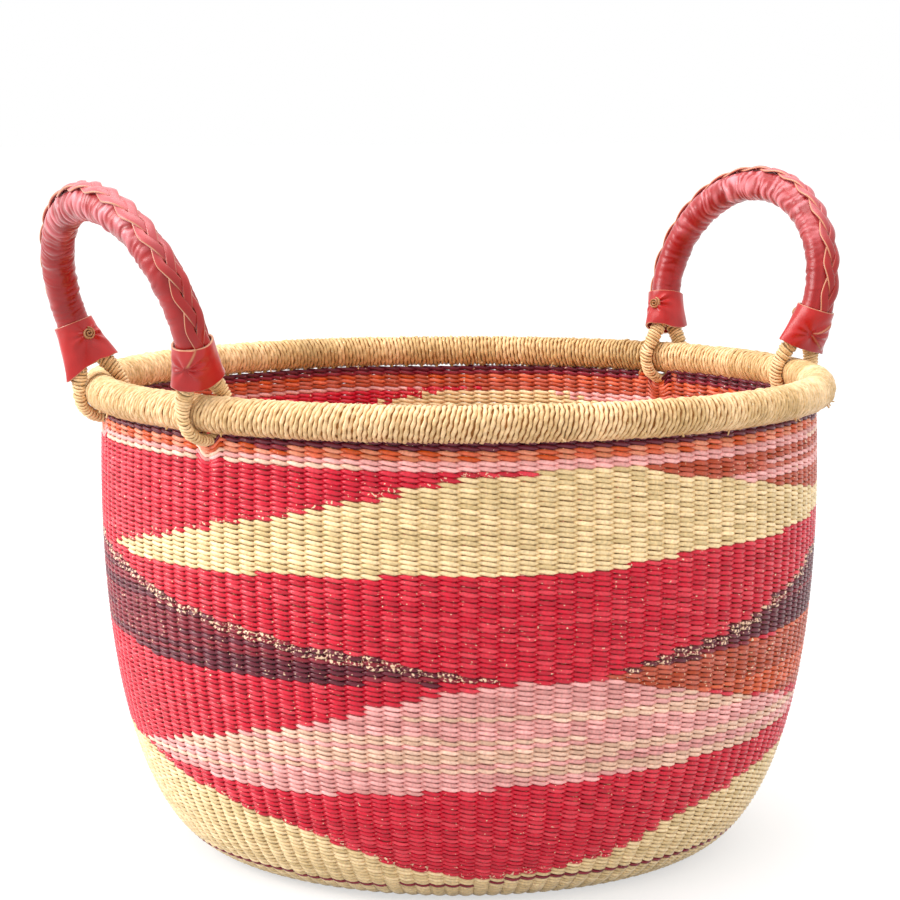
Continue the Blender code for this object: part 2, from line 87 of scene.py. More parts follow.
def wall_middle():
    """The middle of the weave as (run, radius, height) from the middle of the base to the rim."""
    face = bezier(WALL_CURVE, 400)
    along = unit_length(np.gradient(face, axis=0))
    middle = face + WALL_THICKNESS / 2 * np.stack([-along[:, 1], along[:, 0]], axis=1)
    flat = np.linspace(0, WALL_CURVE[0][0], BASE_PLACES)[:-1]
    radius = np.concatenate([flat, middle[:, 0], middle[-1:, 0]])
    height = np.concatenate([np.full(len(flat), WALL_THICKNESS / 2), middle[:, 1], [RIM_HEIGHT]])
    return length_at(np.stack([radius, height], axis=1)), radius, height


WALL_RUN, WALL_R, WALL_Z = wall_middle()
TOP_RUN = float(np.interp(WALL_TOP, WALL_Z[BASE_PLACES:], WALL_RUN[BASE_PLACES:]))


def on_wall(run):
    """Radius and height at these runs, with the direction up the wall in both."""
    step = 0.0004
    radius = np.interp(run, WALL_RUN, WALL_R)
    height = np.interp(run, WALL_RUN, WALL_Z)
    up_r = np.interp(run + step, WALL_RUN, WALL_R) - np.interp(run - step, WALL_RUN, WALL_R)
    up_z = np.interp(run + step, WALL_RUN, WALL_Z) - np.interp(run - step, WALL_RUN, WALL_Z)
    size = np.hypot(up_r, up_z)
    return radius, height, up_r / size, up_z / size


def facing(angle):
    """The level direction at each of these angles round the basket."""
    return np.stack([np.cos(angle), np.sin(angle), np.zeros_like(angle)], axis=-1)


def make_piece(name, points, faces, values, material):
    """A smooth mesh object from arrays. values are numbers at each point, for its material."""
    mesh = bpy.data.meshes.new(name)
    mesh.vertices.add(len(points))
    mesh.vertices.foreach_set("co", np.asarray(points, np.float32).ravel())
    corners = np.concatenate([np.asarray(group, np.int32).ravel() for group in faces])
    sizes = np.concatenate([np.full(len(group), np.shape(group)[1]) for group in faces])
    mesh.loops.add(len(corners))
    mesh.loops.foreach_set("vertex_index", corners)
    mesh.polygons.add(len(sizes))
    mesh.polygons.foreach_set("loop_start", (np.cumsum(sizes) - sizes).astype(np.int32))
    for key, numbers in values.items():
        attribute = mesh.attributes.new(key, "FLOAT", "POINT")
        attribute.data.foreach_set("value", np.asarray(numbers, np.float32))
    mesh.update(calc_edges=True)
    mesh.validate()
    mesh.shade_smooth()
    mesh.materials.append(material)
    obj = bpy.data.objects.new(name, mesh)
    bpy.context.scene.collection.objects.link(obj)
    return obj


def ring_faces(count, sides, closed=False):
    """Quads between rings of points that lie one after another, and a cap on each open end."""
    rings = np.arange(count if closed else count - 1)[:, None]
    here = rings * sides + np.arange(sides)
    nearby = rings * sides + (np.arange(sides) + 1) % sides
    onward = ((rings + 1) % count - rings) * sides
    faces = [np.stack([here, nearby, nearby + onward, here + onward], axis=2).reshape(-1, 4)]
    if not closed:
        last = (count - 1) * sides
        faces.append(np.array([np.arange(sides)[::-1], last + np.arange(sides)]))
    return faces


def tube(centres, sideways, outwards, half_width, half_depth, sides, closed=False):
    """A tube of oval section along a route, as (points, faces). The route runs sideways x outwards."""
    count = len(centres)
    turns = (np.arange(sides) + 0.5) * math.tau / sides
    half_width = np.broadcast_to(half_width, count)[:, None, None]
    half_depth = np.broadcast_to(half_depth, count)[:, None, None]
    across = np.cos(turns)[None, :, None] * half_width * sideways[:, None, :]
    rise = np.sin(turns)[None, :, None] * half_depth * outwards[:, None, :]
    points = (centres[:, None, :] + across + rise).reshape(-1, 3)
    return points, ring_faces(count, sides, closed)


def joined(parts):
    """Several (points, faces) as one."""
    points, quads, caps, start = [], [], [], 0
    for part_points, part_faces in parts:
        points.append(part_points)
        for group in part_faces:
            (quads if np.shape(group)[1] == 4 else caps).append(group + start)
        start += len(part_points)
    faces = [np.concatenate(quads)]
    if caps:
        faces.append(np.concatenate(caps))
    return np.concatenate(points), faces


def linear(*levels):
    """A colour given as the eye reads it, 0 to 255, for a shader."""
    shares = [level / 255 for level in levels]
    return tuple(s / 12.92 if s < 0.0404 else ((s + 0.055) / 1.055) ** 2.4 for s in shares)


def feed(node, inputs):
    """Sets inputs of a node, each to a number or a colour, or to what another node puts out."""
    for name, value in inputs.items():
        if isinstance(value, bpy.types.NodeSocket):
            node.id_data.links.new(value, node.inputs[name])
        else:
            node.inputs[name].default_value = value


def add_node(tree, kind, output, inputs=None, **settings):
    """Adds a node with these settings and inputs, and gives what it puts out under this name."""
    node = tree.nodes.new(f"ShaderNode{kind}")
    for name, setting in settings.items():
        setattr(node, name, setting)
    feed(node, inputs or {})
    return node.outputs[output]


def straw_material(name, colour, speck_colour, roughness, gloss=0.32):
    """Grass stem: a tone for each strand, fibres, pale specks where the dye didn't take, a sheen."""
    material = bpy.data.materials.new(name)
    material.use_nodes = True
    tree = material.node_tree
    place = add_node(tree, "TexCoord", "Object")

    tone = add_node(tree, "Attribute", "Fac", attribute_name="tone")
    fibres = add_node(tree, "TexNoise", "Fac", {"Vector": place, "Scale": 650, "Detail": 3})
    shade_range = {"From Min": 0.3, "From Max": 0.7, "To Min": 0.82, "To Max": 1.15}
    shade = add_node(tree, "MapRange", "Result", {"Value": fibres, **shade_range})
    depth_range = {"From Min": 0.7, "From Max": 1.1, "To Min": 1.15, "To Max": 0.96}
    depth = add_node(tree, "MapRange", "Result", {"Value": tone, **depth_range})
    value = add_node(tree, "Math", "Value", {0: tone, 1: shade}, operation="MULTIPLY")
    dye = {"Color": (*colour, 1), "Saturation": depth, "Value": value}
    dyed = add_node(tree, "HueSaturation", "Color", dye)

    fleck = add_node(tree, "Attribute", "Fac", attribute_name="fleck")
    spots = add_node(tree, "TexNoise", "Fac", {"Vector": place, "Scale": 620, "Detail": 1})
    above = add_node(tree, "Math", "Value", {0: spots, 1: fleck}, operation="ADD")
    specks = add_node(tree, "MapRange", "Result", {"Value": above, "From Min": 0.74, "From Max": 0.78})
    colours = {"Factor": specks, "A": dyed, "B": (*speck_colour, 1)}
    bump = add_node(tree, "Bump", "Normal", {"Height": fibres, "Strength": 0.25, "Distance": 0.0002})
    feed(tree.nodes["Principled BSDF"], {
        "Base Color": add_node(tree, "Mix", "Result", colours, data_type="RGBA"),
        "Normal": bump,
        "Roughness": roughness,
        "Specular IOR Level": gloss,
        "Sheen Weight": 0.1,
        "Sheen Roughness": 0.4,
    })
    return material


STAKE_SETS = (  # how many, where their run starts and ends, and in how many places up to the tip
    (8, 0.0006, 0.012, 3),
    (16, 0.008, 0.030, 3),
    (32, 0.028, 0.058, 3),
    (64, 0.055, 0.108, 3),
    (STAKE_COUNT, 0.104, TOP_RUN + RIM_HEIGHT - ROLL_RADIUS * 0.6 - WALL_TOP, 26),
)
UNDYED = linear(250, 221, 168)
stake_straw = straw_material("stake_straw", linear(190, 146, 88), UNDYED, 0.6)

stakes = []
for count, first, end, places in STAKE_SETS:
    tip = np.linspace(end - STAKE_TIP, end, 4)
    run = np.concatenate([np.linspace(first, end - STAKE_TIP - 0.001, places), tip])
    radius, height, up_r, up_z = (values[:, None] for values in on_wall(run))
    for i in range(count):
        angle = SEAM_ANGLE + (i + 0.5) * math.tau / count
        out = facing(angle)
        centres = radius * out + height * UP
        sideways = np.broadcast_to(facing(angle - math.pi / 2), centres.shape)
        inwards = up_r * UP - up_z * out
        stakes.append(tube(centres, sideways, inwards, STAKE_RADIUS, STAKE_RADIUS, STAKE_SIDES))
points, faces = joined(stakes)
tones = np.random.default_rng(3).uniform(0.8, 1.15, len(stakes))
tones = np.repeat(tones, [len(part[0]) for part in stakes])
piece = make_piece("stakes", points, faces, {"tone": tones, "fleck": tones * 0}, stake_straw)
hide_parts("woven_wall", "woven_base")
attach(piece, "basket")


# Twined weave
# Two strands of grass wind round the basket together in one long spiral. At each stake one
# passes in front and one behind, and they cross in between. Strands of other dyes are laid in
# along the way, which makes the long pointed bands. Each dye is one or more pieces here.

ROW_PITCH = 0.0025
ROW_WAVE = 0.0013  # how far a row strays up and down the wall
LOOP_DIPS = (0.0057, 0.0066, 0.0057, 0.0060)  # the top row is pressed down this far by each loop
LOOP_DIP_DEPTH = 0.026  # how far down the wall that is felt
LOOP_DIP_ANGLE = math.radians(1.65)
STRAND_SWING = 0.00185  # middle of a strand from the middle of the wall, at a stake
STRAND_DROP = 0.00056  # how far a strand climbs or falls from the middle of its row
STRAND_STRAY = 0.0002  # how much further it may, at a stake
STRAND_FACE = (0.0018, 0.00265)  # its outer side from the middle of the wall, between stakes and at one
STRAND_HEIGHT = (0.00092, 0.00145)  # half of it, between stakes and at one
STRAND_TURNS = np.radians((-90, -48, 0, 48))  # where its points are, of half a turn at each stake
STRAND_SIDES = 5
STEM_LENGTH = 15  # how many stretches have the same mix of dyes
TONE_LENGTH = 9  # how many have about the same tone
LINE_THINNING = 0.72
PIECE_MOST_FACES = 88000
PHOTO_SIDE = math.radians(-122.3)  # the side of the basket that the bands are drawn from

DYES = {
    "natural": (250, 221, 168),
    "red": (220, 16, 50),
    "plum": (104, 2, 34),
    "maroon": (140, 12, 38),
    "orange": (226, 100, 58),
    "salmon": (236, 146, 112),
    "rust": (198, 88, 60),
    "pink": (248, 178, 172),
    "blush": (250, 206, 180),
}
NATURAL, RED, PLUM, MAROON, ORANGE, SALMON, RUST, PINK, BLUSH = range(len(DYES))

# Bands as (angle from the photographed side, lower edge, upper edge), in degrees and millimetres
UPPER_NATURAL = (
    (-67, 175, 175), (-60, 170, 179), (-50, 170, 185), (-41, 171, 192), (-23, 173, 205), (-8, 175, 216),
    (3, 175, 223), (14, 175, 226), (27, 178, 225), (37, 181, 219), (51, 182, 211), (75, 185, 199),
    (97, 187, 198),
)
LEFT_PLUM = (
    (-83, 127, 177), (-75, 126, 172), (-56, 122, 160), (-42, 120, 148), (-32, 120, 143), (-24, 120, 139),
    (-8, 122, 132), (-1, 123, 128), (8, 124, 124),
)
PINK_LENS = (
    (-66, 70, 70), (-60, 66, 73), (-47, 63, 82), (-36, 61, 90), (-24, 62, 98), (-9, 66, 112), (6, 68, 122),
    (22, 70, 122), (39, 73, 110), (46, 74, 105), (60, 76, 97), (70, 78, 90), (82, 84, 84),
)
RIGHT_PLUM = (
    (23, 123, 123), (29, 125, 128), (38, 127, 134), (47, 129, 140), (58, 131, 150), (75, 132, 166),
    (97, 134, 180),
)
RIGHT_RUST = (
    (21, 122, 122), (29, 117, 125), (39, 110, 127), (47, 105, 129), (64, 95, 131), (97, 88, 134),
)
FOOT_NATURAL = (
    (-83, 0, 72), (-66, 0, 68), (-48, 0, 54), (-37, 0, 47), (-27, 0, 41), (-19, 0, 32), (-10, 0, 23),
    (4, 0, 16), (18, 0, 21), (26, 0, 25), (33, 0, 33), (40, 0, 42), (50, 0, 50), (62, 0, 58), (74, 0, 61),
    (97, 0, 64),
)
BANDS = (  # each one's dyes, and the share of its stems that have the second
    (FOOT_NATURAL, NATURAL, NATURAL, 0),
    (RIGHT_RUST, RUST, ORANGE, 0.25),
    (LEFT_PLUM, PLUM, MAROON, 0.5),
    (RIGHT_PLUM, PLUM, MAROON, 0.2),
    (PINK_LENS, PINK, BLUSH, 0.42),
    (UPPER_NATURAL, NATURAL, NATURAL, 0),
)
LEFT_FOLD, RIGHT_FOLD = -83, 97  # degrees from the photographed side to where the back begins
BACK_SHIFT = 5  # degrees that the back's bands are off from a mirror of the front's
TOP_MIX_FROM = (14, 190)  # degrees and millimetres past which the red has rust and pink in it
FOOT_LINE = (11.5, 16)  # millimetres up, left and right of where the line near the foot climbs
FOOT_LINE_CLIMB = 12  # degrees
FOOT_LINE_HALF = 0.85
PINK_ROWS_FROM = 225.9
ORANGE_ROWS_FROM = 230.6
PLUM_ROWS_FROM = 235.2


def signed(turn):
    """The same turn in radians, from half a turn back to half a turn on."""
    return (turn + math.pi) % math.tau - math.pi


def between(pair, share):
    """The value at this share of the way from the first of a pair to the second."""
    return pair[0] + (pair[1] - pair[0]) * share


def pressed_down(angle, run):
    """How far the loops of the handles press the weave down here."""
    dip = np.zeros_like(run)
    depth = np.clip((run - (TOP_RUN - LOOP_DIP_DEPTH)) / LOOP_DIP_DEPTH, 0, 1) ** 1.5
    for loop, loop_dip in zip(LOOP_ANGLES, LOOP_DIPS):
        dip += loop_dip * depth * np.exp(-((signed(angle - loop) / LOOP_DIP_ANGLE) ** 6))
    return dip


def within(band, angle, height):
    """Whether each place lies in this band, and how far below its upper edge it is."""
    at, low, high = np.array(band, float).T
    lower = np.interp(angle, at, low, left=1, right=1)
    upper = np.interp(angle, at, high, left=0, right=0)
    return (height >= lower) & (height < upper), upper - height


def dye_strands(angle, height, strand, alike, luck):
    """The dye of each stretch of strand, its undyed flecks, and whether it is the foot's line."""
    angle = np.degrees(signed(angle - PHOTO_SIDE))
    behind = (angle < LEFT_FOLD) | (angle > RIGHT_FOLD)
    mirrored = (2 * LEFT_FOLD - angle + 180) % 360 - 180
    shifted = mirrored + BACK_SHIFT * np.sin(np.radians(angle - LEFT_FOLD))
    angle = np.clip(np.where(behind, shifted, angle), LEFT_FOLD, RIGHT_FOLD)
    row_height = height * 1000
    height = row_height + luck.uniform(-0.7, 0.7, len(height))

    dye = np.full(len(height), RED)
    fleck = np.full(len(height), 0.022)
    top_mix = (angle > TOP_MIX_FROM[0]) & (height > TOP_MIX_FROM[1])
    dye[top_mix] = np.where(alike < 0.3, PINK, RUST)[top_mix]
    fleck[top_mix] = 0.06
    for band, most, others, share in BANDS:
        inside, below_edge = within(band, angle, height)
        dye[inside] = np.where(alike < share, others, most)[inside]
        fleck[inside] = 0 if most in (NATURAL, PINK) else 0.05
        if most == PLUM:
            fleck[inside & (below_edge < 5)] = 0.2
        if most == RUST and strand == 0:
            fleck[inside] = 0.09
        if most == NATURAL:
            fleck[(dye == RED) & (below_edge < 0) & (below_edge > -3)] = 0.13
    line_height = between(FOOT_LINE, np.clip(angle / FOOT_LINE_CLIMB, 0, 1))
    in_line = abs(row_height - line_height) < FOOT_LINE_HALF
    dye[in_line] = MAROON

    in_pink = np.where(behind, RUST, BLUSH)
    in_orange = np.where(behind, RUST, SALMON)
    for start, most, others, mixed in (
        (PINK_ROWS_FROM, PINK, in_pink, alike < np.where(behind, 0.5, 0.2)),
        (ORANGE_ROWS_FROM, ORANGE, in_orange, (strand == 1) & (alike < 0.75)),
        (PLUM_ROWS_FROM, PLUM, MAROON, alike < 0.2),
    ):
        above = row_height > start
        dye[above] = np.where(mixed, others, most)[above]
        fleck[above] = 0
    return dye, fleck, in_line


def strand_rings(angle, run, swing, drop, depth, tall):
    """Rings of points round a strand. swing and drop are off its row, depth and tall half sizes."""
    radius, height, up_r, up_z = (values[:, None] for values in on_wall(run))
    turns = (np.arange(STRAND_SIDES) + 0.5) * math.tau / STRAND_SIDES
    up = drop[:, None] + tall[:, None] * np.cos(turns)
    out = swing[:, None] + depth[:, None] * np.sin(turns)
    ring_r = radius + up * up_r + out * up_z
    ring_z = height + up * up_z - out * up_r
    return np.stack([ring_r * np.cos(angle)[:, None], ring_r * np.sin(angle)[:, None], ring_z], axis=2)


def twine(first, last, stake_count, luck, handmade):
    """Both strands of one stretch of the spiral, added to the skeins of their dyes.

    handmade is 1 where the rows and strands stray a little, and 0 where they are even.
    """
    places = len(STRAND_TURNS)
    rows = round((last - first) / ROW_PITCH)
    steps = rows * stake_count * places
    step = np.arange(steps + 1)
    twist = math.pi * (step // places) + STRAND_TURNS[step % places]
    turn = (twist / math.pi + 0.5) / stake_count
    angle = SEAM_ANGLE + turn * math.tau
    run = first + (last - first) * turn / rows
    coarse = slice(None, None, 16)
    wave = []
    for a, r in zip(angle[coarse], run[coarse]):
        wave.append(noise.noise(Vector((3 * math.cos(a), 3 * math.sin(a), r * 14))))
    run += handmade * ROW_WAVE * np.interp(step, step[coarse], wave)
    run -= pressed_down(angle, run)
    stems = luck.uniform(0, 1, steps // (2 * places * STEM_LENGTH) + 2)

    for strand in (0, 1):
        phase = twist + math.pi * strand
        unit = np.floor((phase + math.pi) / math.tau).astype(int)
        count = unit[-1] + 1
        middle = np.clip((2 * np.arange(count) + 0.5 - strand) * places, 0, steps).astype(int)
        alike = stems[np.arange(count) // STEM_LENGTH]
        height = on_wall(run[middle])[1]
        dye, fleck, in_line = dye_strands(angle[middle], height, strand, alike, luck)

        front = np.abs(np.cos(phase))
        swing = STRAND_SWING * np.sign(np.cos(phase)) * front**0.38
        swing *= 1 + handmade * luck.uniform(-0.05, 0.04, count)[unit]
        drop = handmade * STRAND_STRAY * luck.uniform(-1, 1, count)[unit] * front
        drop -= STRAND_DROP * np.sin(phase)
        depth = between(STRAND_FACE, front) - np.abs(swing)
        tall = between(STRAND_HEIGHT, front)
        tall *= 1 + handmade * luck.uniform(-0.14, 0.04, count)[unit]
        tall *= np.where(in_line, LINE_THINNING, 1)[unit]
        points = strand_rings(angle, run, swing, drop, depth, tall)
        tone = luck.uniform(0.86, 1.12, count)
        tone *= np.repeat(luck.uniform(0.88, 1.1, count // TONE_LENGTH + 1), TONE_LENGTH)[:count]
        tone, fleck, dye = tone[unit], fleck[unit], dye[unit[:-1]]

        changes = np.flatnonzero(np.diff(dye)) + 1
        for start, stop in zip([0, *changes], [*changes, steps]):
            stretch = slice(start, stop + 1)
            skeins[dye[start]].append((points[stretch], tone[stretch], fleck[stretch]))


skeins = [[] for dye in DYES]
weave_luck = np.random.default_rng(11)
twine(0.0016, 0.0095, 8, weave_luck, 0)
twine(0.0095, 0.0295, 16, weave_luck, 0)
twine(0.0295, 0.0570, 32, weave_luck, 0)
twine(0.0570, 0.1070, 64, weave_luck, 0)
twine(0.1070, TOP_RUN + 0.0026, STAKE_COUNT, weave_luck, 1)


def lay_skein(name, lengths, material):
    """One piece from lengths of strand, each a closed tube."""
    tubes = [(rings.reshape(-1, 3), ring_faces(len(rings), STRAND_SIDES)) for rings, _, _ in lengths]
    points, faces = joined(tubes)
    values = {
        "tone": np.repeat(np.concatenate([tone for _, tone, _ in lengths]), STRAND_SIDES),
        "fleck": np.repeat(np.concatenate([fleck for _, _, fleck in lengths]), STRAND_SIDES),
    }
    piece = make_piece(name, points, faces, values, material)
    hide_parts("woven_wall", "woven_base")
    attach(piece, "basket")


for skein, (dye_name, colour) in zip(skeins, DYES.items()):
    material = straw_material(f"{dye_name}_straw", linear(*colour), linear(246, 208, 172), 0.34, gloss=0.46)
    batch, faces, part = [], 0, 1
    for length in skein:
        more = len(length[0]) * STRAND_SIDES
        if faces + more > PIECE_MOST_FACES:
            lay_skein(f"weave_{dye_name}_{part}", batch, material)
            batch, faces, part = [], 0, part + 1
        batch.append(length)
        faces += more
    lay_skein(f"weave_{dye_name}_{part}", batch, material)


# Rim roll
# A thick bundle of dry grass, bound with one turn after another of undyed strand. The binding
# hides the tops of the stakes. Its colour changes from strand to strand.

WRAP_COUNT = 510
WRAP_STEPS = 38
WRAP_SIDES = 5
WRAP_HALF_WIDTH = 0.00109
WRAP_HALF_DEPTH = 0.00098
WRAP_SEAT = 0.0012  # middle of the strand below the face of the roll
WRAP_SLANT = 0.0030  # how far a wrap leans along the rim, from the bottom of the roll to the top
WRAP_STRAY = 0.00014
WRAP_TWISTS = 9.46  # of the two plies of a strand, in one turn round the roll
PLY_SWAY = 0.00016  # how far the strand leans from side to side as its plies turn
PLY_SWELL = 0.24  # share of its width that it grows and shrinks by
BUNDLE_RADIUS = 0.0079
# Where the binding is darkest: browner straw at the back, with painted shade on the lamp-lit right end
BROWN_AND_SHADED_SIDE = math.radians(28)


def wandering(luck, count, reach):
    """Smooth random numbers about -1 to 1, alike over this many neighbours."""
    window = np.hanning(reach + 2)
    return np.convolve(luck.normal(size=count), window / np.sqrt((window**2).sum()), "same")


rim_straw = straw_material("rim_straw", linear(240, 202, 150), linear(255, 244, 206), 0.4)
wrap_luck = np.random.default_rng(5)
steps = np.arange(WRAP_COUNT * WRAP_STEPS)
around = steps * math.tau / WRAP_STEPS
twist = WRAP_TWISTS * around + 0.7 * wandering(wrap_luck, len(steps), 60)
slip = WRAP_STRAY * wandering(wrap_luck, len(steps), 4) + PLY_SWAY * np.sin(twist)
slip += WRAP_SLANT / 2 * np.sin(around)
along = steps * math.tau / len(steps) + slip / RIM_RADIUS
middle = ROLL_RADIUS - WRAP_SEAT + 0.0002 * wandering(wrap_luck, len(steps), 7)
ring = facing(along)
outwards = np.cos(around)[:, None] * ring + np.sin(around)[:, None] * UP
centres = ring * RIM_RADIUS + UP * RIM_HEIGHT + outwards * middle[:, None]
swell = 1 + PLY_SWELL * np.cos(twist) + 0.1 * wandering(wrap_luck, len(steps), 3)
width = WRAP_HALF_WIDTH * np.clip(swell, 0.64, 1.3)
depth = WRAP_HALF_DEPTH * (1 - 0.14 * np.cos(twist))
sideways = facing(along - math.pi / 2)
points, faces = tube(centres, sideways, outwards, width, depth, WRAP_SIDES, closed=True)
wrap_tone = 0.93 + 0.09 * wandering(wrap_luck, WRAP_COUNT, 14)
# Darker towards one side: the browner straw at the back, and painted shade on the right end where the lamps
# fall strongly.
wrap_tone -= 0.09 * np.cos(np.arange(WRAP_COUNT) * math.tau / WRAP_COUNT - BROWN_AND_SHADED_SIDE)
wrap_tone *= wrap_luck.uniform(0.88, 1.1, WRAP_COUNT)
# Painted shade and highlight: each wrap is lighter on its plies and darker in the crease where the two
# plies cross.
tone = np.repeat(wrap_tone, WRAP_STEPS) * (1 + 0.09 * np.cos(twist))
values = {"tone": np.repeat(tone, WRAP_SIDES), "fleck": np.zeros(len(points))}
piece = make_piece("rim_binding_straw", points, faces, values, rim_straw)
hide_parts("rim_binding")
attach(piece, "basket")

core_straw = straw_material("core_straw", linear(168, 114, 64), UNDYED, 0.75)
bpy.ops.mesh.primitive_torus_add(
    location=(0, 0, RIM_HEIGHT),
    major_radius=RIM_RADIUS,
    minor_radius=BUNDLE_RADIUS,
    major_segments=160,
    minor_segments=16,
)
piece = bpy.context.object
piece.name = "rim_bundle"
bpy.ops.object.transform_apply(location=True, rotation=True, scale=True)
bpy.ops.object.shade_smooth()
tone = piece.data.attributes.new("tone", "FLOAT", "POINT")
tone.data.foreach_set("value", [0.9] * len(piece.data.vertices))
piece.data.materials.append(core_straw)
bpy.ops.object.select_all(action="DESELECT")
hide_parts("rim_core")
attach(piece, "basket")


# Clipped ends
# Where one binding strand runs out, its end is clipped off short under the roll, and the next
# one starts there. The stubs stick out a little at all angles.

CLIPPED_COUNT = 70
CLIPPED_LENGTH = (0.0018, 0.0034)
CLIPPED_HALF_WIDTH = (0.00045, 0.0008)
CLIPPED_SIDES = 6

clipped = []
clip_luck = np.random.default_rng(21)
for i in range(CLIPPED_COUNT):
    along = clip_luck.uniform(0, math.tau)
    side = clip_luck.choice([-1, 1])
    low = math.radians(clip_luck.uniform(38, 75))
    ring_out = Vector((math.cos(along), math.sin(along), 0))
    out = ring_out * (side * math.cos(low)) - Vector((0, 0, math.sin(low)))
    astray = Vector(clip_luck.uniform(-0.7, 0.7, 3))
    way = (out + astray + Vector((0, 0, -0.3))).normalized()
    start = ring_out * RIM_RADIUS + Vector((0, 0, RIM_HEIGHT)) + out * (ROLL_RADIUS - 0.001)
    length = clip_luck.uniform(*CLIPPED_LENGTH)
    centres = np.array([start, start + way * length * 0.6, start + (way + astray * 0.2) * length])
    sideways = way.cross(Vector((0.3, 0.2, 1))).normalized()
    outwards = way.cross(sideways).normalized()
    half_width = clip_luck.uniform(*CLIPPED_HALF_WIDTH)
    taper = half_width * np.array([1, 1, 0.7])
    ways = [np.broadcast_to(np.array(way), centres.shape) for way in (sideways, outwards)]
    clipped.append(tube(centres, *ways, taper, 0.7 * half_width, CLIPPED_SIDES))
points, faces = joined(clipped)
tone = np.repeat(clip_luck.uniform(0.7, 1.1, CLIPPED_COUNT), len(points) // CLIPPED_COUNT)
piece = make_piece("clipped_straw_ends", points, faces, {"tone": tone, "fleck": tone * 0}, rim_straw)
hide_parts("rim_binding")
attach(piece, "basket")


# Rim loops
# A closed straw rope at each foot of a handle, wound all over with a fine undyed strand. It
# goes round the rim roll, through the weave under it and up into the cuff. It is made in its
# handle's own frame, X outwards, Y along the hinge and Z up, and then set over the rim.

HANDLES = {"left": (-1, math.radians(18)), "right": (1, math.radians(12))}  # side, lean outwards
HINGE_X = 0.185147  # the hinge passes through the middle of the roll at both feet
FOOT_HALF_SPAN = 0.0612
HANDLE_BOW = 0.0098  # how far each foot leans out to the widest part of the arch
BOW_START = 0.005
BOW_HEIGHT = 0.0455
LEG_RADIUS = 0.0046
LEG_OFFSET = 0.0050  # middle of a leg from the middle of its foot, inside the cuff
LEG_JOIN_HEIGHT = 0.022
LEG_LEAVE_ANGLE = math.radians(15)  # above the hinge, where a leg leaves the roll
LEG_LOW_CURVE = 0.0118
LEG_HIGH_CURVE = 0.004
LOOP_RADIUS = 0.0131
LOOP_HALF_THICKNESS = 0.0031  # where the rope is pressed flat round the roll
LOOP_SWELL = 0.008  # length in which it grows round again
ROPE_INSET = 0.0009  # the dark rope below its winding
WIND_PITCH = 0.0017
WIND_STEPS = 12
WIND_SIDES = 6
WIND_HALF_DEPTH = 0.0008
WIND_HALF_WIDTH = 0.00078
WIND_STRAY = 0.0002
WIND_SLANT = 0.0016  # how far a turn leans along the rope


def placed(points, hand):
    """Points of a handle's frame, in the basket's."""
    way, lean = HANDLES[hand]
    turn = Euler((0, lean, 0 if way > 0 else math.pi)).to_matrix().to_4x4()
    matrix = np.array(Matrix.Translation((way * HINGE_X, 0, RIM_HEIGHT)) @ turn)
    return points @ matrix[:3, :3].T + matrix[:3, 3]


def foot_side(hand, place):
    """Which end of the hinge a foot is at, in its handle's frame."""
    return HANDLES[hand][0] * (1 if place == "back" else -1)


def foot_reach(height):
    """Middle of the handle to the middle of a foot at this height above the hinge."""
    share = np.clip((height - BOW_START) / (BOW_HEIGHT - BOW_START), 0, 1)
    return FOOT_HALF_SPAN + HANDLE_BOW * (1 - np.cos(math.pi * share)) / 2


def loop_route(count, side):
    """Even places round one loop: middles, the ways across and out, half thickness, length."""
    sweep = math.pi + 2 * LEG_LEAVE_ANGLE
    angle = LEG_LEAVE_ANGLE - sweep * np.linspace(0, 1, 80)
    low = LOOP_RADIUS * np.stack([np.cos(angle), np.sin(angle)], axis=1)
    start, end = low[0], np.array([LEG_OFFSET, LEG_JOIN_HEIGHT])
    first = start + LEG_LOW_CURVE * np.array([-math.sin(LEG_LEAVE_ANGLE), math.cos(LEG_LEAVE_ANGLE)])
    leg = bezier((start, first, end - (0, LEG_HIGH_CURVE), end), 40)
    over = np.linspace(math.pi, 0, 30)[1:-1]
    top = np.stack([LEG_OFFSET * np.cos(over), LEG_JOIN_HEIGHT + LEG_OFFSET * np.sin(over)], axis=1)
    flat = np.concatenate([low, (leg * (-1, 1))[1:], top, leg[::-1]])
    length = length_at(flat)
    at = np.arange(count) * length[-1] / count
    x = np.interp(at, length, flat[:, 0])
    z = np.interp(at, length, flat[:, 1])
    swell = np.clip((z - LOOP_RADIUS * math.sin(LEG_LEAVE_ANGLE)) / LOOP_SWELL, 0, 1)
    half_thickness = between((LOOP_HALF_THICKNESS, LEG_RADIUS), swell)
    route = np.stack([x, side * foot_reach(z), z], axis=1)
    ahead = unit_length(np.roll(route, -1, axis=0) - np.roll(route, 1, axis=0))
    across = unit_length(np.array([0, 1, 0]) - ahead * ahead[:, 1:2])
    return route, across, np.cross(ahead, across), half_thickness, length[-1]


